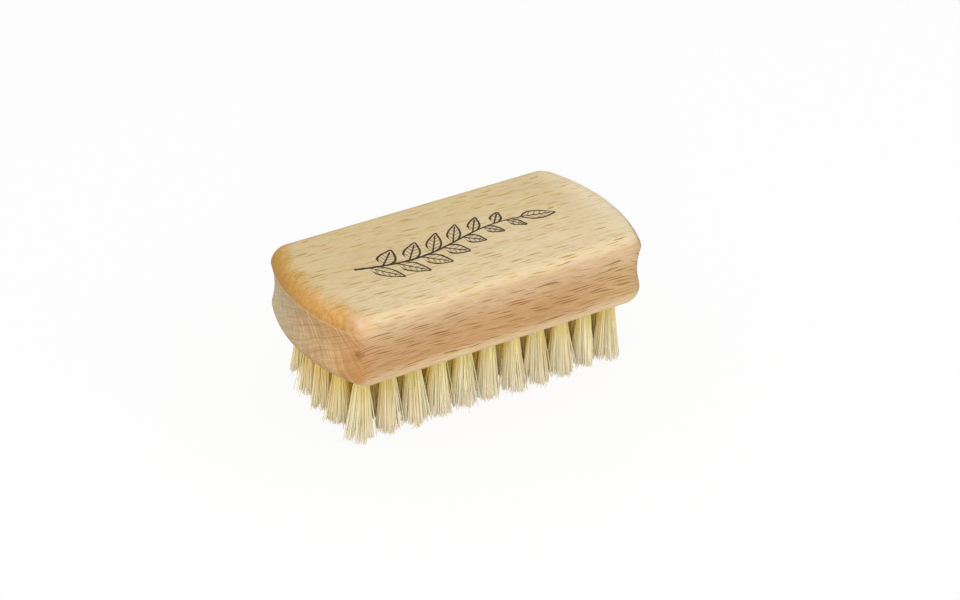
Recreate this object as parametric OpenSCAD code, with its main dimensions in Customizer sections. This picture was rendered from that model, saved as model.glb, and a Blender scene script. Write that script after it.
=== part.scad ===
// Wooden nail brush. The block is one piece of beech with bowed ends and a finger groove all round.
// Each tuft of bristle is folded over a flat wire anchor and driven into a blind hole.
// The brush stands on its bristle tips, at z = 0, with its length along x.

/* [Block] */
// Length of the block over its bowed ends
block_l = 85; // [70:1:110]
// Width of the block
block_w = 42.7; // [38:0.1:60]
// Height of the block
block_h = 17.9; // [15:0.1:28]
// How far each end bows out past its corners
end_bow = 5.2; // [2:0.1:8]
// Radius of the upright corners, seen from above
corner_r = 5.5; // [2:0.1:9]
// Radius of the rounded top edge
top_r = 4; // [2:0.1:5]
// Radius of the rounded lower edge
lower_r = 3.7; // [2:0.1:5]
// Depth of the finger groove
groove_depth = 0.75; // [0.3:0.05:1.5]

/* [Holes] */
// Rows of tufts across the block
tuft_rows = 5; // [3:1:5]
// Tufts in each row
row_tufts = 11; // [7:1:11]
// Distance of the outer rows from the block's sides
side_margin = 7.95; // [6.5:0.05:9]
// Distance of each row's last tuft from the bowed end
end_margin = 6.9; // [5.5:0.1:9]
// Bore of the blind holes
hole_d = 3.9; // [3:0.1:4.4]
// Depth of the blind holes
hole_depth = 8; // [6:0.5:11]

/* [Bristles] */
// Length of bristle below the block
bristle_l = 16.8; // [8:0.1:26]
// Diameter of a tuft at its tips
tip_spread = 5.4; // [4.6:0.1:5.8]
// How much shorter the shortest strands are
tip_rag = 1.1; // [0:0.1:3]
// How much is trimmed flat off the longest strands
tip_cut = 0.5; // [0.2:0.1:1]
// How far the last tufts of a row lean out at their tips
end_lean = 1; // [0:0.1:1.6]

/* [Anchors] */
// Thickness of the flat wire
anchor_t = 0.4; // [0.2:0.05:0.6]
// Width of the flat wire, upright in the hole
anchor_h = 2; // [1:0.1:3]
// How far each end of an anchor bites into the wood
anchor_bite = 0.35; // [0.2:0.05:0.6]
// Thickness of the folded bristle above an anchor
fold_t = 1.2; // [0.8:0.1:2]

/* [Hidden] */
// Gap between a folded root and its hole
root_gap = 0.05;
// How far a root stays inside the mouth of its hole
root_recess = 0.4;
// How far the tip of a strand may stray from its place
tip_stray = 0.06;
// Gap between the corners of neighbouring strands, at the root and at the tip
root_strand_gap = 0.12;
tip_strand_gap = 0.3;
// Overrun of a cutting shape past the face that it cuts
overrun = 1;
// How far the groove's crisp edge stands above the foot of the top round
edge_rise = 0.5;
// How far the groove is cut past the lower round, and how far the corner rounds stand proud of the sides
blend_cut = 0.002;
corner_proud = 0.02;

// Sides of a hole and of the folded root in it, sides of a strand, and strands of a tuft round its middle one
hole_sides = 8;
strand_sides = 3;
ring_strands = 6;
// How fast the lean fades towards the middle of a row
lean_power = 5;
// Angle that puts the seam of a turned shape inside the block
turned_away = 180;
$fn = 96;

// The groove is one arc: it starts at a crisp edge on the top round and runs smoothly into the lower round
groove_top = block_h - top_r + edge_rise;
groove_span = groove_top - lower_r;
groove_rise = (groove_span - 2 * lower_r * groove_depth / groove_span) / 2;
groove_r = (groove_rise * groove_rise + groove_depth * groove_depth) / (2 * groove_depth);
groove_z = groove_top - groove_rise;
groove_x = groove_r - groove_depth;
// Where the line from the lower round's centre to the groove's centre leaves the block: the arcs meet on it
meet_z = lower_r + (groove_z - lower_r) * lower_r / (lower_r + groove_x);

// Arc of a bowed end, and the centre of the corner round that is tangent to it and to the side
end_r = (block_w * block_w / 4 + end_bow * end_bow) / (2 * end_bow);
end_centre_x = block_l / 2 - end_r;
corner_y = block_w / 2 - corner_r;
corner_x = end_centre_x + sqrt(pow(end_r - corner_r, 2) - corner_y * corner_y);
corner_angle = atan2(corner_y, corner_x - end_centre_x);

// Places of the tufts: straight rows, whose ends follow the bow of the block's ends
row_pitch = (block_w - 2 * side_margin) / (tuft_rows - 1);
rows = [0 : tuft_rows - 1];
places = [0 : row_tufts - 1];
function row_y(r) = (r - (tuft_rows - 1) / 2) * row_pitch;
function row_reach(r) = end_centre_x + sqrt(pow(end_r - end_margin, 2) - pow(row_y(r), 2));
function along(c) = 2 * c / (row_tufts - 1) - 1;
function tuft_place(r, c) = [row_reach(r) * along(c), row_y(r)];
function tuft_name(r, c) = str("tuft_", r + 1, "_", c + 1);

// Heights of what is in a hole, from the bristle tips
hole_top = bristle_l + hole_depth;
root_z = bristle_l + root_recess;
anchor_z = hole_top - root_gap - fold_t - anchor_h;

// Radius of the largest strands that stand in a ring within an outer radius, each with a corner outwards,
// and with a gap between the corners of neighbours
function strand_r(outer_r, gap) =
    let (half_step = 180 / ring_strands, corner = 360 / strand_sides)
    (outer_r * sin(half_step) - gap / 2) / (sin(half_step) + sin(corner - half_step));
root_outer_r = hole_d / 2 - 2 * root_gap;
root_strand_r = strand_r(root_outer_r, root_strand_gap);
tip_outer_r = tip_spread / 2;
tip_strand_r = strand_r(tip_outer_r, tip_strand_gap);

// Section of the block's edge: the outline stands at x = 0 and the wood lies at x < 0, over the length reach
module edge_section(reach) {
    difference() {
        union() {
            polygon([
                [-reach, 0],
                [-lower_r, 0],
                [-lower_r, lower_r],
                [0, meet_z],
                [0, block_h - top_r],
                [-top_r, block_h - top_r],
                [-top_r, block_h],
                [-reach, block_h],
            ]);
            translate([-lower_r, lower_r]) circle(r = lower_r);
            translate([-top_r, block_h - top_r]) circle(r = top_r);
        }
        translate([groove_x, groove_z]) circle(r = groove_r + blend_cut);
    }
}

// The side of the axis on which a section is turned, out to a radius and past the block's faces
module turning_side(radius) {
    translate([0, -overrun]) square([radius, block_h + 2 * overrun]);
}

// The edge section turned round an upright axis, with its seam at an angle
module turned_edge(radius, seam) {
    rotate([0, 0, seam])
        rotate_extrude()
            intersection() {
                translate([radius, 0]) edge_section(radius + end_r);
                turning_side(radius + overrun);
            }
}

// The block with straight sides, and as long as its bowed ends need
module sides() {
    intersection_for(turn = [0, 180])
        rotate([0, 0, turn])
            translate([-block_l / 2, 0, 0])
                rotate([90, 0, 90])
                    linear_extrude(block_l)
                        translate([block_w / 2, 0]) edge_section(block_w);
}

// The wedge between the two tangent points of a corner round, which the round replaces
module corner_wedge() {
    reach = 2 * corner_r;
    translate([0, 0, -overrun])
        linear_extrude(block_h + 2 * overrun)
            polygon([[0, 0], reach * [cos(corner_angle), sin(corner_angle)], [reach, reach], [0, reach]]);
}

// Repeats its child at the centres of the four corner rounds
module at_corners() {
    for (mx = [0, 1], my = [0, 1])
        mirror([mx, 0, 0]) mirror([0, my, 0]) translate([corner_x, corner_y, 0]) children();
}

module block_blank() {
    difference() {
        intersection() {
            sides();
            translate([end_centre_x, 0, 0]) turned_edge(end_r, turned_away);
            translate([-end_centre_x, 0, 0]) turned_edge(end_r, 0);
        }
        at_corners() corner_wedge();
    }
    at_corners() turned_edge(corner_r + corner_proud, turned_away);
}

// An upright rod with flat sides at a tuft's place, between two heights and with a width across its flats
module flat_sided(r, c, low, high, width) {
    translate(concat(tuft_place(r, c), low))
        rotate([0, 0, 180 / hole_sides])
            cylinder(h = high - low, d = width / cos(180 / hole_sides), $fn = hole_sides);
}

// The holes are round on a real brush: flat sides keep so many of them light
module tuft_hole(r, c) {
    flat_sided(r, c, bristle_l - overrun, hole_top, hole_d);
}

// One flat wire anchor, across the grain
module anchor(r, c) {
    anchor_l = hole_d + 2 * anchor_bite;
    translate(concat(tuft_place(r, c) - [anchor_t, anchor_l] / 2, anchor_z))
        cube([anchor_t, anchor_l, anchor_h]);
}

module block() {
    color("#dfc49c")
        difference() {
            translate([0, 0, bristle_l]) block_blank();
            for (r = rows, c = places) {
                tuft_hole(r, c);
                anchor(r, c);
            }
        }
}

module anchors() {
    color("silver")
        for (r = rows, c = places) anchor(r, c);
}

// Corners of a strand at one height, round the point at, with its first corner turned to an angle
function strand_ring(at, radius, turn) = [
    for (i = [0 : strand_sides - 1])
        let (a = turn + 360 * i / strand_sides)
            at + radius * [cos(a), sin(a), 0]
];

// One straight strand, wider at its tip, with flat ends
module strand(root, tip, turn) {
    points = concat(strand_ring(tip, tip_strand_r, turn), strand_ring(root, root_strand_r, turn));
    turns = [0 : strand_sides - 1];
    function next(i) = (i + 1) % strand_sides;
    skirt = [
        for (i = turns) each [
            [i, i + strand_sides, next(i)],
            [next(i), i + strand_sides, next(i) + strand_sides],
        ]
    ];
    ends = [
        for (i = [1 : strand_sides - 2]) each [
            [0, i, i + 1],
            [strand_sides, strand_sides + i + 1, strand_sides + i],
        ]
    ];
    polyhedron(points, concat(skirt, ends));
}

// The folded root in its hole, slotted over the anchor
module folded_root(r, c) {
    difference() {
        flat_sided(r, c, root_z, hole_top - root_gap, hole_d - 2 * root_gap);
        anchor(r, c);
    }
}

// A tuft: its folded root, and strands that spread towards their tips and stray a little, differently in each
module tuft(r, c) {
    seed = r * row_tufts + c;
    stray = rands(-1, 1, 3 * (ring_strands + 1), seed);
    turn = 180 / ring_strands * stray[0];
    lean = [end_lean * pow(along(c), lean_power), 0];
    color("#e0d4b0") {
        folded_root(r, c);
        for (k = [0 : ring_strands]) {
            angle = 360 * k / ring_strands + turn;
            out = k == 0 ? [0, 0] : [cos(angle), sin(angle)];
            wander = k == 0 ? [0, 0] : tip_stray * [stray[3 * k], stray[3 * k + 1]];
            short = k == 0 ? 0 : max(0, (tip_rag + tip_cut) * abs(stray[3 * k + 2]) - tip_cut);
            root_xy = tuft_place(r, c) + (root_outer_r - root_strand_r) * out;
            tip_xy = tuft_place(r, c) + (tip_outer_r - tip_strand_r) * out + wander + lean;
            strand(concat(root_xy, root_z), concat(tip_xy, short), angle);
        }
    }
}

block();
anchors();
for (r = rows, c = places)
    tuft(r, c);
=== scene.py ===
"""A wooden nail brush: an oiled beech block with 55 tufts of natural bristle, and a leafy sprig on its top.

Lengths are in mm, and MM turns them into the scene's metres. Only the camera's clipping, the lamps and the
floor are given in metres.
"""

import math
from collections import namedtuple

import bpy
import numpy as np
from mathutils import Matrix, Vector


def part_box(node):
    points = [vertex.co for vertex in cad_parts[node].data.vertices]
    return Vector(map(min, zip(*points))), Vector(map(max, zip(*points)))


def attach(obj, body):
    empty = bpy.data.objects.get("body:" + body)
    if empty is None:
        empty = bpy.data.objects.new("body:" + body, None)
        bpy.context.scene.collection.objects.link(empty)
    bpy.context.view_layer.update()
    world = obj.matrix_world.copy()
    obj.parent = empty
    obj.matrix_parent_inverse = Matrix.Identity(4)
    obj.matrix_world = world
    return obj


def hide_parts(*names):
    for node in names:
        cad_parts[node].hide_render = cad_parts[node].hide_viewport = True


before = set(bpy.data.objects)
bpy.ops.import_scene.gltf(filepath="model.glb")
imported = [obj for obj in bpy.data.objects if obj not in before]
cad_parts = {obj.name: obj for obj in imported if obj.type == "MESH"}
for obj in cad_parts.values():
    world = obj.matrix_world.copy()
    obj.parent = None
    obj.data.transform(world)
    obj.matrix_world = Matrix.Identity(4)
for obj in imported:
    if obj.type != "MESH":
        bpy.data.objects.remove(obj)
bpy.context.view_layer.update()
MM = 0.001

# Camera, fitted to the outline of the block: angles in degrees, and the pixel at which it sees the point AIM
IMAGE_W, IMAGE_H = 960, 600
SENSOR_W = 36
FOCAL_PX = 2858.72
AZIMUTH, ELEVATION, ROLL = -32.134, 30.417, 0.5753
DISTANCE = 660 * MM
AIM = Vector((0, 0, 25.75 * MM))
AIM_PX = (457.006, 273.797)
NEAR_CLIP, FAR_CLIP = 0.01, 50

# Light and floor
WHITE = (1, 1, 1, 1)
WORLD_STRENGTH = 0.8
KEY_POWER, KEY_SIZE, KEY_PLACE = 0.8, 0.5, (0.5, -0.7, 0.5)
FILL_POWER, FILL_SIZE, FILL_PLACE = 4.0, 0.35, (-0.53, -0.8, 0.33)
FLOOR_SIZE, FLOOR_DROP = 6.0, 0.03 * MM
FLOOR_COLOUR, FLOOR_ROUGHNESS, FLOOR_GLOW_SHARE = (0.95, 0.95, 0.945, 1), 0.9, 0.89

# Inputs and outputs of the Mix node, which has them by number, for numbers and for colours
MIX_NUMBER_INPUTS, MIX_NUMBER_OUTPUT = (0, 2, 3), 0
MIX_COLOUR_INPUTS, MIX_COLOUR_OUTPUT = (0, 6, 7), 2

# Ranges over which a noise turns a colour from dark to pale, and tints that leave it or lift it a little
SOFT, FIRM, CRISP = (0.3, 0.7), (0.32, 0.68), (0.35, 0.65)
UNCHANGED, PALER = (1, 1, 1), (1.02, 1.02, 1.02)
LOW_SPECULAR = 0.2

# A hair is one tube: from a tip up to its hole, over the anchor and down to its other tip
TUFT_ROWS, ROW_TUFTS = 5, 11
TUFT_HAIRS, HAIR_SIDES = 140, 4
VISIBLE_STEPS = 4
LEG_POINTS, FOLD_POINTS = VISIBLE_STEPS + 1, 3
HAIR_POINTS = 2 * LEG_POINTS + FOLD_POINTS
HAIR_R, HAIR_R_VARIES, THINNEST, THICKEST = 0.122, 0.16, 0.6, 1.5
TIP_TAPER, TAPER_POWER = 0.76, 0.6
FIRST_SEED = 1000

# Inside a hole
ROOT_CLEARANCE, MOUTH_MARGIN = 0.38, 0.1
ANCHOR_HALF_T, ANCHOR_GAP = 0.2, 0.02
FOLD_TOP_GAP = 0.12

# Where tips end: their spread, the locks they are pulled to, those that stray, and their height
TIP_SPREAD, SPREAD_VARIES = 6.85, 0.35
JITTER, GOLDEN_ANGLE = 0.4, math.pi * (3 - math.sqrt(5))
LOCKS, LOCK_REACH, LOCK_PULL, LEAST_PULL = 7, 0.8, 0.45, 0.2
LOCK_SHORT, LOCK_SHORT_POWER = 0.9, 2
STRAY_SHARE, STRAY_REACH, LEAST_STRAY, LOOSENESS = 0.17, 2.0, 0.4, 0.3
TIP_LIFT, TIP_RAG, RAG_POWER, DOME, SHORT_VARIES = 0.03, 1.1, 2.4, 0.2, 0.35

# How legs run: flare, lean and waver
FLARE_POWERS, LEAN_CURVE = (0.9, 1.4), 1.3
WAVER, LEAST_WAVER, WAVER_TURNS, WAVER_POWER = 0.11, 0.3, (2.5, 5.5), 0.7
LEFT_LEAN, RIGHT_LEAN, LEAN_POWER = 1.2, 0.6, 5
SIDE_LEAN, SIDE_LEAN_POWER = 0.6, 3
LEAN_VARIES = 0.22
SPLAY_X, SPLAY_Y, SPLAY_SHORT = 0.6, 2.4, 1.7
SPLAY_ROWS, SPLAY_ROW_POWER, SPLAY_END_POWER = 4, 0.8, 6

# Tones of hairs, which part of an outer tuft is open to the outside, and painted shade on the left end's
# tufts
LOCK_TONE, TUFT_TONE_VARIES, HIDDEN_TONE = 0.55, 0.1, 0.5
FREE_FROM, FREE_TO = -0.5, 0.4
END_SHADE, END_SHADE_POWER = 0.55, 0.5

# A hair's column of the map: the share of its width that is used, and the height of the strip of a cap
COLUMN_FILL, CAP_STRIP = (0.1, 0.9), 0.004


def srgb(r, g, b):
    """A colour given as 0 to 255 sRGB numbers, as the linear one that shaders take."""
    def linear(c):
        c /= 255
        return c / 12.92 if c <= 0.04045 else ((c + 0.055) / 1.055) ** 2.4
    return linear(r), linear(g), linear(b), 1.0


class Nodes:
    """Short calls that add and join the nodes of a tree. A value may be a number, a colour or a socket."""

    def __init__(self, tree):
        self.tree = tree

    def put(self, socket, value):
        if isinstance(value, bpy.types.NodeSocket):
            self.tree.links.new(value, socket)
        else:
            socket.default_value = value

    def add(self, kind, inputs=(), **settings):
        node = self.tree.nodes.new("ShaderNode" + kind)
        for name, value in settings.items():
            setattr(node, name, value)
        for name, value in dict(inputs).items():
            self.put(node.inputs[name], value)
        return node

    def math(self, operation, a, b=0.0):
        return self.add("Math", {0: a, 1: b}, operation=operation).outputs[0]

    def plus(self, a, b):
        return self.math("ADD", a, b)

    def minus(self, a, b):
        return self.math("SUBTRACT", a, b)

    def over(self, a, b):
        return self.math("DIVIDE", a, b)

    def times(self, a, *factors):
        for factor in factors:
            a = self.math("MULTIPLY", a, factor)
        return a

    def greatest(self, a, *others):
        for other in others:
            a = self.math("MAXIMUM", a, other)
        return a

    def size(self, a):
        return self.math("ABSOLUTE", a)

    def floor(self, a):
        return self.math("FLOOR", a)

    def fraction(self, a):
        return self.math("FRACT", a)

    def above(self, a, limit):
        return self.math("GREATER_THAN", a, limit)

    def below(self, a, limit):
        return self.math("LESS_THAN", a, limit)

    def step(self, value, low, high, out_low=0.0, out_high=1.0):
        """Goes smoothly from out_low to out_high while the value goes from low to high."""
        node = self.add("MapRange", interpolation_type="SMOOTHSTEP")
        for i, x in enumerate((value, low, high, out_low, out_high)):
            self.put(node.inputs[i], x)
        return node.outputs[0]

    def vector(self, x, y, z=0.0):
        return self.add("CombineXYZ", {0: x, 1: y, 2: z}).outputs[0]

    def noise(self, *terms, at=0.0, detail=2.0, roughness=0.5):
        """Noise over coordinates, each given with its scale. If there are two, at is the third."""
        scaled = [self.times(coordinate, scale) for coordinate, scale in terms]
        place = self.vector(*scaled) if len(scaled) == 3 else self.vector(*scaled, at)
        inputs = {"Vector": place, "Scale": 1.0, "Detail": detail, "Roughness": roughness}
        return self.add("TexNoise", inputs).outputs[0]

    def swing(self, *terms, **settings):
        """The same noise, about 0."""
        return self.minus(self.noise(*terms, **settings), 0.5)

    def mix(self, factor, a, b, blend="MIX"):
        node = self.add("Mix", data_type="RGBA", blend_type=blend)
        for i, x in zip(MIX_COLOUR_INPUTS, (factor, a, b)):
            self.put(node.inputs[i], x)
        return node.outputs[MIX_COLOUR_OUTPUT]

    def mix_number(self, factor, a, b):
        node = self.add("Mix", data_type="FLOAT")
        for i, x in zip(MIX_NUMBER_INPUTS, (factor, a, b)):
            self.put(node.inputs[i], x)
        return node.outputs[MIX_NUMBER_OUTPUT]

    def tinted(self, colour, value, low, high, dark, pale=PALER):
        """The colour, times dark where the value is low and times pale where it is high."""
        tint = self.vector(*(self.step(value, low, high, a, b) for a, b in zip(dark, pale)))
        return self.mix(1.0, colour, tint, "MULTIPLY")


class Material(Nodes):
    """The nodes of a new material."""

    def __init__(self, name):
        self.material = bpy.data.materials.new(name)
        self.material.use_nodes = True
        super().__init__(self.material.node_tree)
        self.shader = self.tree.nodes["Principled BSDF"]

    def surface(self, colour, roughness):
        self.put(self.shader.inputs["Base Color"], colour)
        self.put(self.shader.inputs["Roughness"], roughness)

    def dull(self):
        """Mirrors little light, which would turn dark marks and gaps grey."""
        self.shader.inputs["Specular IOR Level"].default_value = LOW_SPECULAR

    def bump(self, height, strength, distance):
        node = self.add("Bump", {"Height": height, "Strength": strength, "Distance": distance})
        self.put(self.shader.inputs["Normal"], node.outputs[0])


def make_camera():
    az, el, roll = (math.radians(x) for x in (AZIMUTH, ELEVATION, ROLL))
    back = Vector((math.sin(az) * math.cos(el), -math.cos(az) * math.cos(el), math.sin(el)))
    right = Vector((math.cos(az), math.sin(az), 0))
    up = back.cross(right)
    turned_right = right * math.cos(roll) + up * math.sin(roll)
    turned_up = up * math.cos(roll) - right * math.sin(roll)
    seen_at = Vector(((AIM_PX[0] - IMAGE_W / 2) / FOCAL_PX, (IMAGE_H / 2 - AIM_PX[1]) / FOCAL_PX, -1))
    aside = Vector((0, 0, -1)).rotation_difference(seen_at.normalized()).to_matrix()
    axes = aside @ Matrix((turned_right, turned_up, back))
    data = bpy.data.cameras.new("camera")
    data.sensor_width = SENSOR_W
    data.lens = FOCAL_PX * SENSOR_W / IMAGE_W
    data.clip_start, data.clip_end = NEAR_CLIP, FAR_CLIP
    camera = bpy.data.objects.new("camera", data)
    camera.matrix_world = Matrix.Translation(AIM + back * DISTANCE) @ axes.transposed().to_4x4()
    bpy.context.scene.collection.objects.link(camera)
    bpy.context.scene.camera = camera


def make_lamp(name, power, size, place):
    data = bpy.data.lights.new(name, "AREA")
    data.shape, data.size, data.energy = "DISK", size, power
    lamp = bpy.data.objects.new(name, data)
    lamp.location = place
    lamp.rotation_mode = "QUATERNION"
    lamp.rotation_quaternion = (AIM - Vector(place)).to_track_quat("-Z", "Y")
    bpy.context.scene.collection.objects.link(lamp)


def seen_as_background(n):
    """1 for the rays that may see the backdrop: the camera's, mirrored and refracted ones."""
    path = n.add("LightPath").outputs
    return n.greatest(path["Is Camera Ray"], path["Is Glossy Ray"], path["Is Transmission Ray"])


def make_world():
    world = bpy.data.worlds.new("studio")
    world.use_nodes = True
    bpy.context.scene.world = world
    n = Nodes(world.node_tree)
    background = n.tree.nodes["Background"]
    background.inputs["Color"].default_value = WHITE
    n.put(background.inputs["Strength"], n.step(seen_as_background(n), 0, 1, WORLD_STRENGTH, 1.0))


def make_floor():
    half = FLOOR_SIZE / 2
    corners = [(-half, -half, 0), (half, -half, 0), (half, half, 0), (-half, half, 0)]
    mesh = bpy.data.meshes.new("floor")
    mesh.from_pydata(corners, [], [(0, 1, 2, 3)])
    floor = bpy.data.objects.new("floor", mesh)
    floor.location.z = -FLOOR_DROP
    bpy.context.scene.collection.objects.link(floor)
    n = Material("floor")
    n.surface(FLOOR_COLOUR, FLOOR_ROUGHNESS)
    glow = n.add("Emission", {"Color": WHITE, "Strength": 1.0})
    share = n.times(seen_as_background(n), FLOOR_GLOW_SHARE)
    mixed = n.add("MixShader", {0: share, 1: n.shader.outputs[0], 2: glow.outputs[0]})
    n.put(n.tree.nodes["Material Output"].inputs["Surface"], mixed.outputs[0])
    mesh.materials.append(n.material)


class Flecks(namedtuple("Flecks", "pitch row half_length half_width shift")):
    """Spindle-shaped marks along x, in rows.

    Each pitch of a row has one, of random place, length and strength. Short ones are thinner."""

    # How far rows slide along each other, in pitches, and how far a mark stands off its row's middle, in rows
    SLIDE = 7.0
    ASIDE, ASIDE_DICE = 0.6, 7.3
    # Shares of half_length and half_width that every mark has, and the width that the longest add
    LEAST_LENGTH, LEAST_WIDTH, LENGTH_WIDTH = 0.5, 0.6, 0.7
    BLUR = 0.05
    # A mark is seen from FAINT, and in full from FULL: both are its dice over the share present
    FAINT, FULL, LEAST_PRESENT = 1.0, 0.35, 0.01

    def mask(self, n, x, s, present):
        """How strongly the marks show at x along and s across their rows. More show where present is high."""
        across = n.plus(n.times(s, 1 / self.row), self.shift)
        lane = n.floor(across)
        slide = n.add("TexWhiteNoise", {"W": lane}, noise_dimensions="1D").outputs["Value"]
        along = n.plus(n.times(x, 1 / self.pitch), n.times(slide, self.SLIDE))
        cell = n.floor(along)
        dice = n.add("TexWhiteNoise", {"Vector": n.vector(cell, lane)}, noise_dimensions="2D")
        long, place, rare = n.add("SeparateColor", {0: dice.outputs["Color"]}).outputs[:3]
        reach = n.times(n.plus(long, self.LEAST_LENGTH), self.half_length)
        centre = n.times(n.minus(n.times(place, 2.0), 1.0), n.minus(self.pitch / 2, reach))
        off = n.minus(n.times(n.minus(n.minus(along, cell), 0.5), self.pitch), centre)
        share = n.over(off, reach)
        taper = n.minus(1.0, n.times(share, share))
        middle = n.times(n.minus(n.fraction(n.times(place, self.ASIDE_DICE)), 0.5), self.ASIDE)
        away = n.size(n.times(n.minus(n.minus(n.minus(across, lane), 0.5), middle), self.row))
        width = n.times(taper, n.plus(n.times(long, self.LENGTH_WIDTH), self.LEAST_WIDTH), self.half_width)
        mark = n.step(n.minus(width, away), -self.BLUR, self.BLUR)
        rarity = n.over(rare, n.greatest(present, self.LEAST_PRESENT))
        return n.times(mark, n.step(rarity, self.FAINT, self.FULL))


TOP_RAYS = Flecks(pitch=6.4, row=1.3, half_length=1.8, half_width=0.14, shift=3.7)
SIDE_RAYS = Flecks(pitch=8.4, row=0.78, half_length=2.7, half_width=0.125, shift=31.3)
SHORT_RAYS = Flecks(pitch=4.9, row=1.2, half_length=1.6, half_width=0.08, shift=11.3)
FINE_RAYS = Flecks(pitch=3.1, row=0.6, half_length=0.8, half_width=0.055, shift=17.9)
PORES = Flecks(pitch=2.4, row=0.37, half_length=0.6, half_width=0.04, shift=23.1)


class Sprig:
    """A leafy sprig in line: an S-shaped stem with leaves in turn on both its sides and one at its tip."""

    # LINE is half the width of an outline. The other lines have theirs in that unit
    LINE, BLUR = 0.28, 0.05
    STEM_FOOT, STEM_TIP, OUTLINE, MIDRIB, VEIN = 1.5, 0.8, 1.0, 0.75, 0.5
    # The stem runs from START to END in x, with leaves at a PITCH that LEAN from it
    START, END = -27.0, 18.5
    BEND, BEND_LENGTH = 2.3, 8.1
    WANDER, WANDER_SCALE = 0.35, 0.9
    PITCH = 6.4
    LEAN = math.radians(50)
    LEAF_L, LEAF_W, BELLY_POWER = 8.2, 1.9, 0.8
    SMALLER_FROM, SMALLEST = 0.35, 0.62
    LAST_FOOT = END - START - 3
    # Where midribs and veins lie, in shares of a leaf's length, and how veins run
    MIDRIB_END = 0.86
    VEIN_HALF_PITCH, VEIN_SLANT, VEIN_REACH, VEIN_STRENGTH = 0.7, 0.9, 0.8, 0.8
    VEINS_START, VEINS_END = 0.16, 0.8

    def __init__(self, n):
        self.n = n

    def line(self, distance, width):
        """A line where the distance is 0."""
        n = self.n
        return n.step(n.minus(n.size(distance), n.times(width, self.LINE)), self.BLUR, -self.BLUR)

    def leaf(self, along, across, length):
        """Outline, midrib and veins of a leaf that starts at 0 and runs along."""
        n = self.n
        share = n.over(along, length)
        inside = n.times(n.above(share, 0.0), n.below(share, 1.0))
        belly = n.math("SINE", n.times(n.math("POWER", n.greatest(share, 0.0), self.BELLY_POWER), math.pi))
        half = n.times(belly, n.times(length, self.LEAF_W / self.LEAF_L))
        off = n.size(across)
        outline = self.line(n.minus(off, half), self.OUTLINE)
        midrib = n.times(self.line(off, self.MIDRIB), n.below(share, self.MIDRIB_END))
        vein = n.math("PINGPONG", n.minus(along, n.times(off, self.VEIN_SLANT)), self.VEIN_HALF_PITCH)
        veins = n.times(self.line(vein, self.VEIN), n.below(off, n.times(half, self.VEIN_REACH)),
                        n.above(share, self.VEINS_START), n.below(share, self.VEINS_END))
        return n.times(inside, n.greatest(outline, midrib, n.times(veins, self.VEIN_STRENGTH)))

    def side_leaves(self, x, off):
        """The leaves beside the stem, off being the distance to it. Those below start half a pitch sooner."""
        n = self.n
        side = n.below(off, 0.0)
        run = n.plus(n.minus(x, self.START), n.times(side, self.PITCH / 2))
        count = n.floor(n.times(run, 1 / self.PITCH))
        at = n.minus(run, n.times(count, self.PITCH))
        away = n.size(off)
        c, s = math.cos(self.LEAN), math.sin(self.LEAN)
        along = n.plus(n.times(at, c), n.times(away, s))
        across = n.minus(n.times(away, c), n.times(at, s))
        leaves = (self.END - self.START) / self.PITCH
        small = n.step(count, leaves * self.SMALLER_FROM, leaves, 1.0, self.SMALLEST)
        foot = n.times(n.minus(count, n.times(side, 0.5)), self.PITCH)
        leaf = self.leaf(along, across, n.times(small, self.LEAF_L))
        return n.times(leaf, n.above(run, self.PITCH), n.below(foot, self.LAST_FOOT))

    def mask(self, x, y):
        """How strongly the lines show at x and y on the block's top."""
        n = self.n
        wander = n.times(n.swing((x, self.WANDER_SCALE), (y, self.WANDER_SCALE), at=3.0), self.WANDER)
        x, y = n.plus(x, wander), n.plus(y, wander)
        bend = n.times(n.math("SINE", n.times(x, 1 / self.BEND_LENGTH)), self.BEND)
        off = n.minus(y, bend)
        tip = self.leaf(n.minus(x, self.END), off, self.LEAF_L)
        stem = self.line(off, n.step(x, self.START, self.END, self.STEM_FOOT, self.STEM_TIP))
        stem = n.times(stem, n.above(x, self.START), n.below(x, self.END))
        return n.greatest(self.side_leaves(x, off), tip, stem)


Spot = namedtuple("Spot", "centre radius blur strength colour stretch")
CORNER, GROOVE_SPOT = (-36.6, -18.8, 33.0), (-38.2, -19.4, 26.1)
SHADE, STAIN = (-38.4, -18.4, 22.0), (-37.6, -20.0, 20.4)
# At the left front corner: a rosy spot with a pale heart, which is a painted highlight, a small dark spot
# with a brown halo in the groove, and a dark foot with a stain
CORNER_SPOTS = (
    Spot(CORNER, 2.4, 2.4, 0.6, srgb(218, 170, 126), 1.0),
    # The pale heart: a painted highlight on the corner's round.
    Spot(CORNER, 0.5, 1.1, 0.6, srgb(236, 206, 182), 1.0),
    Spot(GROOVE_SPOT, 3.4, 3.0, 0.35, srgb(176, 122, 76), 1.0),
    Spot(SHADE, 3.2, 2.8, 0.68, srgb(172, 122, 66), 1.0),
    Spot(STAIN, 0.9, 1.2, 0.6, srgb(178, 110, 52), 1.6),
    Spot(GROOVE_SPOT, 0.9, 0.7, 0.95, srgb(108, 62, 16), 1.6),
)


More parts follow.
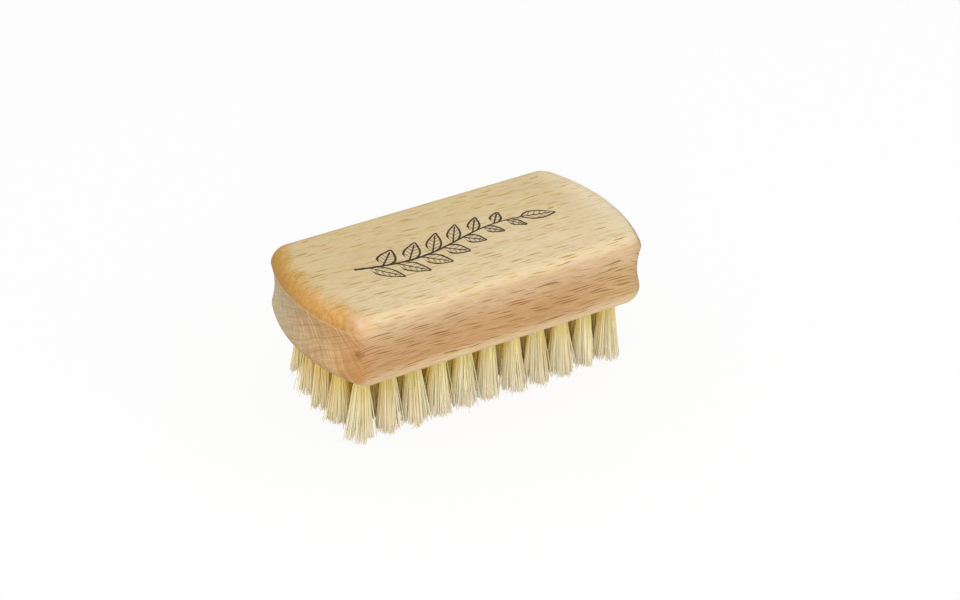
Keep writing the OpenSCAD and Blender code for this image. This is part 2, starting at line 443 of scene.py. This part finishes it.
class Beech:
    """The block's wood: beech with short dark rays along the grain, and pale rays and year lines on the ends.

    x, y and z are the object's coordinates. s runs across the grain, over the top and down the sides.
    radial and tangent run outwards from the middle of the tree and round it."""

    GRAIN_TILT, SWAY = 0.05, 2.6
    OUTWARDS_Y, OUTWARDS_Z = math.sin(math.radians(28)), math.cos(math.radians(28))
    RADIAL_WARP, TANGENT_WARP, RADIAL_TILT = 3.0, 2.0, 0.02
    YEAR = 3.1
    # Heights of the sharp ridge over the groove, of the top of the lower round and of the lip,
    # below which marks are faint and the painted light is full
    RIDGE, LOWER_ROUND, LIP = 31.13, 20.5, 18.8
    # Radius and middle of the bowed left end
    END_R, END_CENTRE = 46.43, 3.93

    # The sides' tan, low in the groove, is painted shade; the paler lip and shoulder colours are painted
    # light.
    TAN, TAN_LEFT, TAN_RIGHT = srgb(185, 149, 106), srgb(184, 148, 107), srgb(189, 159, 115)
    LIP_MIDDLE, LIP_LEFT, SHOULDER = srgb(212, 190, 153), srgb(203, 178, 139), srgb(204, 178, 143)
    TOP_BACK, TOP_FRONT, TOP_RIGHT = srgb(218, 199, 153), srgb(232, 215, 176), srgb(237, 224, 191)
    TOP_MARK, SIDE_MARK, LOW_MARK = srgb(186, 138, 60), srgb(142, 96, 42), srgb(118, 70, 28)
    END_FRONT, END_BACK, END_RAY = srgb(191, 150, 100), srgb(185, 168, 140), srgb(218, 194, 154)
    AMBER_LOW, AMBER_HIGH, AMBER_SPECK = srgb(188, 140, 70), srgb(220, 172, 99), srgb(190, 128, 58)
    # A painted highlight along the ridge of the left end.
    RIDGE_HIGHLIGHT = srgb(219, 196, 152)
    INK_DARK, INK_PALE = srgb(26, 12, 6), srgb(44, 24, 12)

    MARK_STRENGTH, PORE_STRENGTH, INK_STRENGTH, AMBER_STRENGTH = 0.9, 0.28, 0.97, 0.9
    INK_DEPTH = 0.2
    BUMP_STRENGTH, BUMP_DEPTH = 0.28, 0.05 * MM

    def __init__(self):
        self.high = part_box("block")[1] / MM
        self.n = n = Material("beech")
        coordinate = n.add("TexCoord").outputs
        scaled = n.add("VectorMath", {0: coordinate["Object"], "Scale": 1 / MM}, operation="SCALE")
        self.place = scaled.outputs[0]
        self.x, self.y, self.z = n.add("SeparateXYZ", {0: self.place}).outputs
        self.nx, _, self.nz = n.add("SeparateXYZ", {0: coordinate["Normal"]}).outputs
        self.s = self.across_grain()
        self.radial, self.tangent = self.in_tree()
        self.grain = n.noise((self.x, 0.2), (self.s, 3.0), detail=4.0, roughness=0.62)
        self.fibres = n.noise((self.x, 0.8), (self.s, 11.0), detail=3.0, roughness=0.6)
        self.topness = n.step(self.nz, -0.05, 0.62)
        self.above_lip = n.step(self.z, self.LIP, 21.2, 0.1, 1.0)
        side_mark = n.mix(n.step(self.z, 27.5, 23.5), self.SIDE_MARK, self.LOW_MARK)
        self.mark_colour = n.mix(self.topness, side_mark, self.TOP_MARK)

    def across_grain(self):
        """s, which goes on from the sides to the underside, with a slope and a slow sway."""
        n, x, y, z = self.n, self.x, self.y, self.z
        under = n.below(z, self.LOWER_ROUND)
        inwards = n.minus(2 * self.high.y, n.times(n.size(y), 2))
        drop = n.plus(n.minus(self.high.z, z), n.times(under, inwards))
        side = n.mix_number(under, n.step(y, -12, 12, -1, 1), n.math("SIGN", y))
        s = n.plus(y, n.times(drop, side))
        sway = n.times(n.swing((x, 0.04), (s, 0.07), at=1.0), self.SWAY)
        return n.plus(n.plus(s, n.times(x, self.GRAIN_TILT)), sway)

    def in_tree(self):
        """radial and tangent, warped."""
        n, x, y, z = self.n, self.x, self.y, self.z
        warp = n.swing((x, 0.02), (y, 0.07), (z, 0.07))
        radial = n.plus(n.times(y, self.OUTWARDS_Y), n.times(z, self.OUTWARDS_Z))
        radial = n.plus(n.plus(radial, n.times(warp, self.RADIAL_WARP)), n.times(x, self.RADIAL_TILT))
        tangent = n.minus(n.times(z, self.OUTWARDS_Y), n.times(y, self.OUTWARDS_Z))
        return radial, n.plus(tangent, n.times(warp, self.TANGENT_WARP))

    def rings(self):
        """1 on the thin dark line that ends each year's growth, fading behind it."""
        n = self.n
        year = n.fraction(n.times(self.radial, 1 / self.YEAR))
        return n.times(n.step(year, 0.78, 0.965), n.step(year, 1.0, 0.97))

    def marks(self):
        """The dark rays: fewer in the middle of the top, more low on the sides, and faint on the lip."""
        n, x = self.n, self.x
        s = n.plus(self.s, n.times(n.noise((x, 0.12), (self.s, 0.8), at=5.0), 1.2))
        patchy = n.step(n.noise((x, 0.05), (s, 0.25), at=7.0), 0.3, 0.65, 0.9, 1.2)
        top = n.times(n.step(n.size(self.y), 5, 17, 0.62, 0.82), patchy)
        side = n.times(patchy, n.step(self.z, 31, 22, 1.0, 1.7))
        on_top = n.times(TOP_RAYS.mask(n, x, s, top), self.topness)
        on_side = n.times(SIDE_RAYS.mask(n, x, s, side), n.minus(1.0, self.topness))
        short = SHORT_RAYS.mask(n, x, s, n.times(patchy, 0.75))
        short = n.times(short, n.step(self.topness, 0, 1, 0.34, 0.65))
        fine = n.times(FINE_RAYS.mask(n, x, s, 0.8), 0.28)
        return n.times(n.greatest(on_top, on_side, short, fine), self.above_lip)

    def side_colour(self):
        """Painted light: cream on the lower lip, paler again up to the ridge. Painted shade: tan low in the
        groove.
        """
        n = self.n
        tan = n.mix(n.step(self.x, 0, -38), self.TAN, self.TAN_LEFT)
        tan = n.mix(n.step(self.x, 12, 38), tan, self.TAN_RIGHT)
        lip = n.mix(n.step(self.x, -8, -38), self.LIP_MIDDLE, self.LIP_LEFT)
        colour = n.mix(n.step(self.z, 22.0, self.LIP), tan, lip)
        return n.mix(n.step(self.z, 24.5, 33.0), colour, self.SHOULDER)

    def top_colour(self):
        """Paler to the front, and palest at the right end."""
        n = self.n
        front = n.step(n.minus(n.times(self.x, 0.25), self.y), -16, 22)
        return n.mix(n.step(self.x, 30, 40), n.mix(front, self.TOP_BACK, self.TOP_FRONT), self.TOP_RIGHT)

    def long_grain(self):
        """The top and the sides: clouds, grain, fibres, a blush, year lines and pores over their colours."""
        n = self.n
        flat = n.step(self.nz, 0.4, 1.0)
        colour = n.mix(flat, self.side_colour(), self.top_colour())
        cloud = n.noise((self.x, 0.05), (self.s, 0.12), at=9.0)
        colour = n.tinted(colour, cloud, *SOFT, (0.965, 0.95, 0.93))
        strong = n.tinted(colour, self.grain, *FIRM, (0.9, 0.865, 0.81), (1.04, 1.04, 1.03))
        faint = n.tinted(colour, self.grain, *FIRM, (0.955, 0.935, 0.9))
        colour = n.mix(flat, strong, faint)
        colour = n.tinted(colour, self.fibres, *FIRM, (0.97, 0.955, 0.93))
        blush = n.noise((self.x, 0.13), (self.s, 0.55), at=30.0)
        colour = n.tinted(colour, blush, *CRISP, (0.99, 0.98, 0.93), (1.02, 1.0, 1.03))
        colour = n.tinted(colour, self.rings(), 1.0, 0.0, (0.95, 0.93, 0.9), UNCHANGED)
        pores = n.times(PORES.mask(n, self.x, self.s, 0.8), self.above_lip)
        return n.mix(n.times(pores, self.PORE_STRENGTH), colour, self.mark_colour)

    def end_grain(self):
        """The ends: tan, greyer to the back and darker at the foot, with pale rays crossed by year lines."""
        n = self.n
        colour = n.mix(n.step(self.y, -19, 12), self.END_FRONT, self.END_BACK)
        colour = n.tinted(colour, self.z, 21.5, 31.0, (1.08, 1.06, 1.0), (0.93, 0.86, 0.7))
        colour = n.tinted(colour, self.z, 17.5, 21.0, (0.62, 0.5, 0.34), UNCHANGED)
        rays = n.noise((self.tangent, 1.5), (self.radial, 0.06), at=4.0)
        colour = n.mix(n.times(n.step(rays, 0.48, 0.62), 0.42), colour, self.END_RAY)
        thin = n.noise((self.tangent, 3.2), (self.radial, 0.22), at=8.0, detail=3.0, roughness=0.65)
        colour = n.tinted(colour, thin, *CRISP, (0.82, 0.8, 0.75), (1.08, 1.08, 1.09))
        year = n.noise((self.tangent, 0.1), (self.radial, 1.6), at=2.0, detail=3.0, roughness=0.6)
        colour = n.tinted(colour, year, *CRISP, (0.88, 0.85, 0.8), (1.06, 1.06, 1.06))
        speck = n.noise((self.y, 5.0), (self.z, 5.0), at=4.0)
        colour = n.tinted(colour, speck, *SOFT, (0.93, 0.915, 0.89))
        rings = n.times(self.rings(), n.step(self.y, 6, -14, 0.45, 1.0))
        return n.tinted(colour, rings, 1.0, 0.0, (0.87, 0.83, 0.77), UNCHANGED)

    def amber_share(self):
        """1 on the left round, where the wood has drunk more oil, with a ragged border to the top."""
        n, x, y, z = self.n, self.x, self.y, self.z
        from_centre = n.plus(n.math("POWER", n.minus(x, self.END_CENTRE), 2.0), n.times(y, y))
        inward = n.minus(self.END_R, n.math("SQRT", from_centre))
        ragged = n.swing((x, 0.28), (self.s, 1.1), at=6.0, detail=5.0, roughness=0.7)
        blotch = n.swing((x, 0.16), (y, 0.16), at=3.0)
        depth = n.plus(inward, n.plus(n.times(ragged, 9.0), n.times(blotch, 7.0)))
        over_ridge = n.step(z, self.RIDGE - 0.1, self.RIDGE + 0.15)
        off_corner = n.step(n.plus(y, n.times(blotch, 6.0)), -18.5, -14.5)
        return n.times(n.step(depth, 6.4, 1.6), over_ridge, off_corner, n.below(x, 0.0))

    def amber(self, colour):
        """The colour, with mottled amber on the left round."""
        n, x, y = self.n, self.x, self.y
        curl = n.noise((x, 0.6), (y, 0.6), at=15.0)
        curled = n.plus(y, n.times(curl, 4.0))
        tone = n.noise((x, 0.9), (curled, 1.5), at=12.0, detail=4.0, roughness=0.75)
        specks = n.noise((x, 0.9), (self.s, 1.3), at=21.0, detail=3.0, roughness=0.7)
        amber = n.mix(n.step(self.z, self.RIDGE, self.high.z), self.AMBER_LOW, self.AMBER_HIGH)
        amber = n.tinted(amber, y, 12.0, -10.0, (0.8, 0.77, 0.38), UNCHANGED)
        amber = n.tinted(amber, tone, *CRISP, (0.83, 0.76, 0.64), (1.1, 1.11, 1.15))
        amber = n.mix(n.times(n.step(specks, 0.52, 0.64), 0.55), amber, self.AMBER_SPECK)
        return n.mix(n.times(self.amber_share(), self.AMBER_STRENGTH), colour, amber)

    def ridge_highlight(self, colour):
        """The colour, with a faint pale line on the ridge of the left end: a painted highlight."""
        n = self.n
        near = n.step(n.size(n.minus(self.z, self.RIDGE)), 0.45, 0.1)
        return n.mix(n.times(near, n.step(self.nx, -0.3, -0.6), 0.22), colour, self.RIDGE_HIGHLIGHT)

    def spotted(self, colour, spots):
        """The colour, with blurred spots of uneven border. A stretch makes one longer along the grain."""
        n = self.n
        uneven = n.swing((self.x, 0.9), (n.plus(self.y, self.z), 1.9), at=1.0, detail=3.0)
        for spot in spots:
            off = n.add("VectorMath", {0: self.place, 1: spot.centre}, operation="SUBTRACT").outputs[0]
            scale = (1 / spot.stretch, 1, 1)
            off = n.add("VectorMath", {0: off, 1: scale}, operation="MULTIPLY").outputs[0]
            off = n.add("VectorMath", {0: off}, operation="LENGTH").outputs["Value"]
            off = n.plus(off, n.times(uneven, 2 * spot.radius))
            inside = n.step(off, spot.radius + spot.blur, spot.radius - spot.blur)
            colour = n.mix(n.times(inside, spot.strength), colour, spot.colour)
        return colour

    def build(self):
        n = self.n
        ends = n.step(n.size(self.nx), 0.45, 0.8)
        colour = n.mix(ends, self.long_grain(), self.end_grain())
        colour = self.spotted(self.ridge_highlight(self.amber(colour)), CORNER_SPOTS)
        marked = n.times(self.marks(), n.minus(1.0, ends))
        colour = n.mix(n.times(marked, self.MARK_STRENGTH), colour, self.mark_colour)
        on_top = n.above(self.z, self.high.z - self.INK_DEPTH)
        drawn = n.times(Sprig(n).mask(self.x, self.y), on_top)
        ink = n.mix(n.step(self.fibres, *CRISP), self.INK_DARK, self.INK_PALE)
        roughness = n.plus(n.step(self.grain, *SOFT, 0.62, 0.52), n.times(marked, 0.06))
        n.surface(n.mix(n.times(drawn, self.INK_STRENGTH), colour, ink), roughness)
        n.dull()
        height = n.plus(n.times(self.grain, 0.5), n.times(self.fibres, 0.35))
        height = n.minus(height, n.plus(n.times(marked, 0.12), n.times(drawn, 0.9)))
        n.bump(height, self.BUMP_STRENGTH, self.BUMP_DEPTH)
        return n.material


def make_steel():
    """Drawn wire, with fine lines along y."""
    across, along = 20 / MM, 0.4 / MM
    n = Material("drawn_steel")
    x, y, z = n.add("SeparateXYZ", {0: n.add("TexCoord").outputs["Object"]}).outputs
    lines = n.noise((x, across), (y, along), (z, across), detail=3.0)
    colour = n.mix(lines, srgb(168, 165, 158), srgb(205, 203, 197))
    n.surface(colour, n.step(lines, *SOFT, 0.28, 0.42))
    n.shader.inputs["Metallic"].default_value = 1.0
    n.bump(lines, 0.2, 0.02 * MM)
    return n.material


def make_bristle_material():
    """Natural bristle: a hair's tone lies between dull and pale, and hairs that face other tufts get
    painted shade in deep yellow.

    The tip, the middle and the root of a hair have colours of their own; the root's yellow is partly the
    bristle's own and partly painted shade under the block. height is 0 at its tips and 1 at the mouth of
    its hole."""
    n = Material("bristle")
    tone = n.add("Attribute", attribute_name="tone").outputs["Fac"]
    inside = n.add("Attribute", attribute_name="inside").outputs["Fac"]
    run = n.add("SeparateXYZ", {0: n.add("UVMap", uv_map="UVMap").outputs[0]}).outputs[1]
    height = n.times(n.math("PINGPONG", run, 0.5), (HAIR_POINTS - 1) / VISIBLE_STEPS)
    fine = n.noise((tone, 90.0), (run, 26.0), detail=3.0, roughness=0.6)
    from_tip, to_root = n.step(height, 0.03, 0.28), n.step(height, 0.25, 0.9)

    def blend(tip, middle, root):
        return n.mix(to_root, n.mix(from_tip, tip, middle), root)

    # Yellower to the root: partly the bristle's own butt colour, partly painted shade under the block.
    pale = blend(srgb(252, 242, 216), srgb(236, 226, 190), srgb(230, 216, 154))
    dull = blend(srgb(242, 226, 186), srgb(228, 212, 170), srgb(218, 197, 124))
    colour = n.mix(n.step(tone, 0.0, 0.6), dull, pale)
    colour = n.mix(n.times(n.step(height, 0.5, 1.0), 0.5), colour, srgb(208, 184, 88))
    # Painted shade between the tufts: deeper yellow and darker where the hair's inside value is high.
    painted_shade_colour = n.mix(n.step(height, 0.0, 0.75), srgb(254, 240, 188), srgb(228, 184, 26))
    painted_shade_colour = n.tinted(painted_shade_colour, tone, 0.0, 0.6, (0.96, 0.94, 0.87), UNCHANGED)
    colour = n.mix(n.times(inside, 0.95), colour, painted_shade_colour)
    colour = n.tinted(colour, fine, *SOFT, (0.97, 0.965, 0.94), (1.01, 1.01, 1.01))
    n.surface(colour, n.step(fine, *SOFT, 0.56, 0.44))
    n.dull()
    return n.material


def disc_points(count, rng):
    """Evenly spread points in the unit disc, jittered."""
    k = np.arange(count) + 0.5
    r = np.sqrt(k / count)
    a = k * GOLDEN_ANGLE
    spiral = np.stack([r * np.cos(a), r * np.sin(a)], 1)
    return spiral + rng.normal(0, JITTER / math.sqrt(count), (count, 2))


def pulled_to_locks(tips, rng):
    """Tips drawn together into small locks, how much shorter each is for its lock, and its lock's tone."""
    centres = disc_points(LOCKS, rng) * LOCK_REACH
    nearest = np.argmin(np.linalg.norm(tips[:, None] - centres[None], axis=2), 1)
    pull = LOCK_PULL * (centres[nearest] - tips) * rng.uniform(LEAST_PULL, 1, (len(tips), 1))
    shorter = LOCK_SHORT * rng.random(LOCKS) ** LOCK_SHORT_POWER
    return tips + pull, shorter[nearest], rng.random(LOCKS)[nearest]


def strayed(tips, rng):
    """The tips, each moved a little to any side, and some of them far."""
    count = len(tips)
    far = rng.random(count) < STRAY_SHARE
    way = rng.normal(0, 1, (count, 2))
    way /= np.linalg.norm(way, axis=1)[:, None]
    reach = far * rng.uniform(LEAST_STRAY, 1, count) * STRAY_REACH
    reach += ~far * rng.uniform(0, LOOSENESS, count)
    return tips + way * reach[:, None]


def tip_heights(places, short, lock_short, rng):
    """Heights at which tips end: ragged, higher round the tuft's rim, and higher where hairs are short."""
    count = len(places)
    rag = TIP_RAG * rng.random(count) ** RAG_POWER
    heights = TIP_LIFT + short + rag + DOME * (places**2).sum(1) + lock_short
    return heights - SHORT_VARIES * short * rng.random(count)


def leg_paths(roots, tips, tip_z, mouth, lean, rng):
    """Paths from the tips to the mouth, which flare, lean and waver more the farther they are below it."""
    count = len(roots)
    share = np.linspace(0, 1, LEG_POINTS)
    z = tip_z[:, None] * (1 - share) + mouth * share
    below = (mouth - z) / mouth
    flare = np.clip(below, 0, None) ** rng.uniform(*FLARE_POWERS, (count, 1))
    xy = roots[:, None] + (tips - roots)[:, None] * flare[..., None]
    xy += np.asarray(lean) * (below**LEAN_CURVE)[..., None]
    phase = rng.uniform(0, 2 * math.pi, (count, 1, 2))
    turns = rng.uniform(*WAVER_TURNS, (count, 1, 1))
    waver = WAVER * rng.uniform(LEAST_WAVER, 1, (count, 1, 1))
    xy += waver * np.sin(phase + turns * below[..., None]) * below[..., None] ** WAVER_POWER
    return np.concatenate([xy, z[..., None]], 2)


def make_legs(roots, root_r, mouth, spread, lean, short, rng):
    """The hairs' legs on one side of the anchor: their paths, their tones and their places in the tuft.

    Paths are (hairs, points, 3) from the tuft's axis, and places are shares of the tuft's radius."""
    places = roots / root_r
    tips, lock_short, lock_tone = pulled_to_locks(places, rng)
    tips = strayed(tips * (spread / 2), rng)
    tip_z = tip_heights(places, short, lock_short, rng)
    paths = leg_paths(roots, tips, tip_z, mouth, lean, rng)
    tones = LOCK_TONE * lock_tone + (1 - LOCK_TONE) * rng.random(len(roots))
    return paths, tones, places


def enclosed(places, row, column):
    """1 for the hairs of a tuft that face other tufts and 0 for those on the outside of the brush.

    It is how much painted shade a hair gets.
    """
    ways = (
        (-1, 0, column == 0),
        (1, 0, column == ROW_TUFTS - 1),
        (0, -1, row == 0),
        (0, 1, row == TUFT_ROWS - 1),
    )
    outwards = [places[:, 0] * x + places[:, 1] * y for x, y, free in ways if free]
    if not outwards:
        return np.ones(len(places))
    share = ((np.max(outwards, axis=0) - FREE_FROM) / (FREE_TO - FREE_FROM)).clip(0, 1)
    return 1 - share * share * (3 - 2 * share)


Hole = namedtuple("Hole", "centre radius mouth anchor_top top")


def hole_of(node):
    """A tuft's hole, measured on the CAD root that sits in it."""
    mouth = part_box("block")[0].z
    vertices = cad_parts[node].data.vertices
    points = np.empty(len(vertices) * 3, np.float32)
    vertices.foreach_get("co", points)
    points = points.reshape(-1, 3)
    root = points[points[:, 2] > mouth + MOUTH_MARGIN * MM] / MM
    low, high = root.min(0), root.max(0)
    anchor_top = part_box("anchors")[1].z / MM
    return Hole((low + high) / 2, float(high[1] - low[1]) / 2, mouth / MM, anchor_top, float(high[2]))


def root_places(root_r, rng):
    """Places of the hairs' legs in the mouth of a hole, left and right of the anchor and in like order."""
    points = disc_points(2 * TUFT_HAIRS, rng)
    points *= root_r * np.minimum(1, 1 / np.linalg.norm(points, axis=1))[:, None]
    points = points[np.argsort(points[:, 0])]
    return [half[np.argsort(half[:, 1])] for half in (points[:TUFT_HAIRS], points[TUFT_HAIRS:])]


def parted(points, side, root_r):
    """The points of one half of the hole, moved off the anchor that divides it."""
    gap = ANCHOR_HALF_T + HAIR_R + ANCHOR_GAP
    reach = np.sqrt(np.maximum(root_r**2 - points[:, 1] ** 2, gap**2))
    share = (side * points[:, 0] / reach).clip(0, 1)
    return np.stack([side * (gap + share * (reach - gap)), points[:, 1]], 1)


def folds(left, right, hole, root_r):
    """The hidden points of the hairs: beside the anchor, over it and beside it again, outer over inner."""
    left, right = parted(left, -1, root_r), parted(right, 1, root_r)
    nest = ((np.abs(left[:, 0]) + np.abs(right[:, 0])) / 2 / hole.radius).clip(0, 1)
    room = hole.top - hole.anchor_top - FOLD_TOP_GAP - 2 * HAIR_R
    level = np.full(len(left), hole.anchor_top)
    crown_x, crown_y = (left[:, 0] + right[:, 0]) / 4, (left[:, 1] + right[:, 1]) / 2
    up = np.column_stack([left, level])
    crown = np.column_stack([crown_x, crown_y, hole.anchor_top + HAIR_R + room * nest])
    down = np.column_stack([right, level])
    return np.stack([up, crown, down], 1)


def hair_paths(hole, lean, short, rng):
    """Paths of a tuft's hairs from its axis, with the tones and the places in the tuft of their two legs."""
    root_r = hole.radius - ROOT_CLEARANCE
    halves = root_places(root_r, rng)
    spread = TIP_SPREAD + SPREAD_VARIES * rng.normal(0, 1)
    legs = [make_legs(half, root_r, hole.mouth, spread, lean, short, rng) for half in halves]
    (first, last), tones, places = zip(*legs)
    return np.concatenate([first, folds(*halves, hole, root_r), last[:, ::-1]], 1), tones, places


def hair_radii(rng):
    """Radii at the points of the hairs: each hair has its own thickness, and tapers to its tips."""
    thickness = HAIR_R * (1 + HAIR_R_VARIES * rng.normal(0, 1, TUFT_HAIRS)).clip(THINNEST, THICKEST)
    count = np.arange(HAIR_POINTS)
    from_tip = (np.minimum(count, count[::-1]) / VISIBLE_STEPS).clip(0, 1)
    return thickness[:, None] * (TIP_TAPER + (1 - TIP_TAPER) * from_tip**TAPER_POWER)


def along_hairs(leg_values, hidden):
    """Values at all points of the hairs: those of their two legs, and one for what is hidden in the hole."""
    values = np.full((TUFT_HAIRS, HAIR_POINTS), hidden)
    values[:, :LEG_POINTS] = leg_values[0][:, None]
    values[:, -LEG_POINTS:] = leg_values[1][:, None]
    return values


def tube_points(paths, radii):
    """A ring of HAIR_SIDES points round each point of the paths."""
    ahead = np.gradient(paths, axis=1)
    ahead /= np.linalg.norm(ahead, axis=2)[..., None]
    aside = np.cross(ahead, (0.0, 1.0, 0.0))
    aside /= np.linalg.norm(aside, axis=2)[..., None]
    above = np.cross(ahead, aside)
    angle = 2 * math.pi * np.arange(HAIR_SIDES) / HAIR_SIDES
    ring = np.cos(angle)[:, None] * aside[:, :, None] + np.sin(angle)[:, None] * above[:, :, None]
    return paths[:, :, None] + radii[..., None, None] * ring


def tube_faces(hairs):
    """The corners of all faces, and how many each face has: the sides of the tubes, then their caps."""
    points = np.arange(hairs * HAIR_POINTS * HAIR_SIDES).reshape(hairs, HAIR_POINTS, HAIR_SIDES)
    here, ahead = points[:, :-1], points[:, 1:]
    after = (np.arange(HAIR_SIDES) + 1) % HAIR_SIDES
    sides = np.stack([here, here[..., after], ahead[..., after], ahead], -1)
    corners = np.concatenate([sides.ravel(), points[:, 0, ::-1].ravel(), points[:, -1].ravel()])
    return corners, np.repeat([4, HAIR_SIDES], [sides.size // 4, 2 * hairs])


def tube_map(hairs):
    """The corners' places in the map: a column for each hair, with thin strips for its caps."""
    turn = np.arange(HAIR_SIDES)
    left, right = ((np.arange(hairs)[:, None] + x) / hairs for x in COLUMN_FILL)
    here, after = (left + (right - left) * (turn + i) / HAIR_SIDES for i in (0, 1))
    v = np.linspace(0, 1, HAIR_POINTS)
    sides = np.empty((hairs, HAIR_POINTS - 1, HAIR_SIDES, 4, 2))
    sides[..., 0, 0] = sides[..., 3, 0] = here[:, None]
    sides[..., 1, 0] = sides[..., 2, 0] = after[:, None]
    sides[..., 0, 1] = sides[..., 1, 1] = v[:-1, None]
    sides[..., 2, 1] = sides[..., 3, 1] = v[1:, None]
    caps = np.empty((2, hairs, HAIR_SIDES, 2))
    caps[..., 0] = here
    caps[0, ..., 1] = CAP_STRIP * (turn % 2)
    caps[1, ..., 1] = 1 - CAP_STRIP * (turn % 2)
    return np.concatenate([sides.ravel(), caps.ravel()])


def tube_mesh(name, paths, radii, values):
    """Closed tubes along the paths, with named values at their points."""
    hairs = len(paths)
    points = (tube_points(paths, radii) * MM).astype(np.float32).reshape(-1, 3)
    corners, sizes = tube_faces(hairs)
    mesh = bpy.data.meshes.new(name)
    mesh.vertices.add(len(points))
    mesh.vertices.foreach_set("co", points.ravel())
    mesh.loops.add(len(corners))
    mesh.loops.foreach_set("vertex_index", corners.astype(np.int32))
    mesh.polygons.add(len(sizes))
    mesh.polygons.foreach_set("loop_start", (np.cumsum(sizes) - sizes).astype(np.int32))
    mesh.update(calc_edges=True)
    mesh.shade_smooth()
    for key, value in values.items():
        attribute = mesh.attributes.new(key, "FLOAT", "POINT")
        attribute.data.foreach_set("value", np.repeat(value.ravel(), HAIR_SIDES))
    layer = mesh.uv_layers.new(name="UVMap")
    layer.uv.foreach_set("vector", tube_map(hairs))
    return mesh


def lean_of(row, column, rng):
    """How far a tuft leans along x and y, and how much shorter it is where tufts splay, at the left back."""
    along, across = 2 * column / (ROW_TUFTS - 1) - 1, 2 * row / (TUFT_ROWS - 1) - 1
    end_lean = RIGHT_LEAN if along > 0 else LEFT_LEAN * (row == 0)
    lean_x = end_lean * along**LEAN_POWER + rng.normal(0, LEAN_VARIES)
    lean_y = SIDE_LEAN * across**SIDE_LEAN_POWER + rng.normal(0, LEAN_VARIES)
    back = max(0.0, (row + 1 + SPLAY_ROWS - TUFT_ROWS) / SPLAY_ROWS) ** SPLAY_ROW_POWER
    splay = back * max(0.0, -along) ** SPLAY_END_POWER
    return (lean_x + SPLAY_X * splay, lean_y + SPLAY_Y * splay), SPLAY_SHORT * splay


def make_tuft(row, column, material):
    """One tuft of folded hairs, in the place of its CAD tuft."""
    node, name = f"tuft_{row + 1}_{column + 1}", f"bristle_{row + 1}_{column + 1}"
    rng = np.random.default_rng(FIRST_SEED + row * ROW_TUFTS + column)
    hole = hole_of(node)
    lean, short = lean_of(row, column, rng)
    paths, tones, places = hair_paths(hole, lean, short, rng)
    paths[..., :2] += hole.centre[:2]
    # Painted shade on the tufts of the left end, more towards the back, carried in inside with that between
    # tufts.
    shade = END_SHADE * (row / (TUFT_ROWS - 1)) ** END_SHADE_POWER * (column == 0)
    tones = [leg + rng.normal(0, TUFT_TONE_VARIES) for leg in tones]
    inside = [np.maximum(enclosed(leg, row, column), shade) for leg in places]
    values = {"tone": along_hairs(tones, HIDDEN_TONE), "inside": along_hairs(inside, 1.0)}
    piece = bpy.data.objects.new(name, tube_mesh(name, paths, hair_radii(rng), values))
    piece.data.materials.append(material)
    bpy.context.scene.collection.objects.link(piece)
    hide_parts(node)
    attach(piece, "root")


def dress(node, material):
    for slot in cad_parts[node].material_slots:
        slot.material = material


bpy.context.scene.view_settings.view_transform = "Standard"
make_camera()
make_world()
make_lamp("key", KEY_POWER, KEY_SIZE, KEY_PLACE)
make_lamp("fill", FILL_POWER, FILL_SIZE, FILL_PLACE)
make_floor()
dress("block", Beech().build())
dress("anchors", make_steel())
bristle = make_bristle_material()
for row in range(TUFT_ROWS):
    for column in range(ROW_TUFTS):
        make_tuft(row, column, bristle)
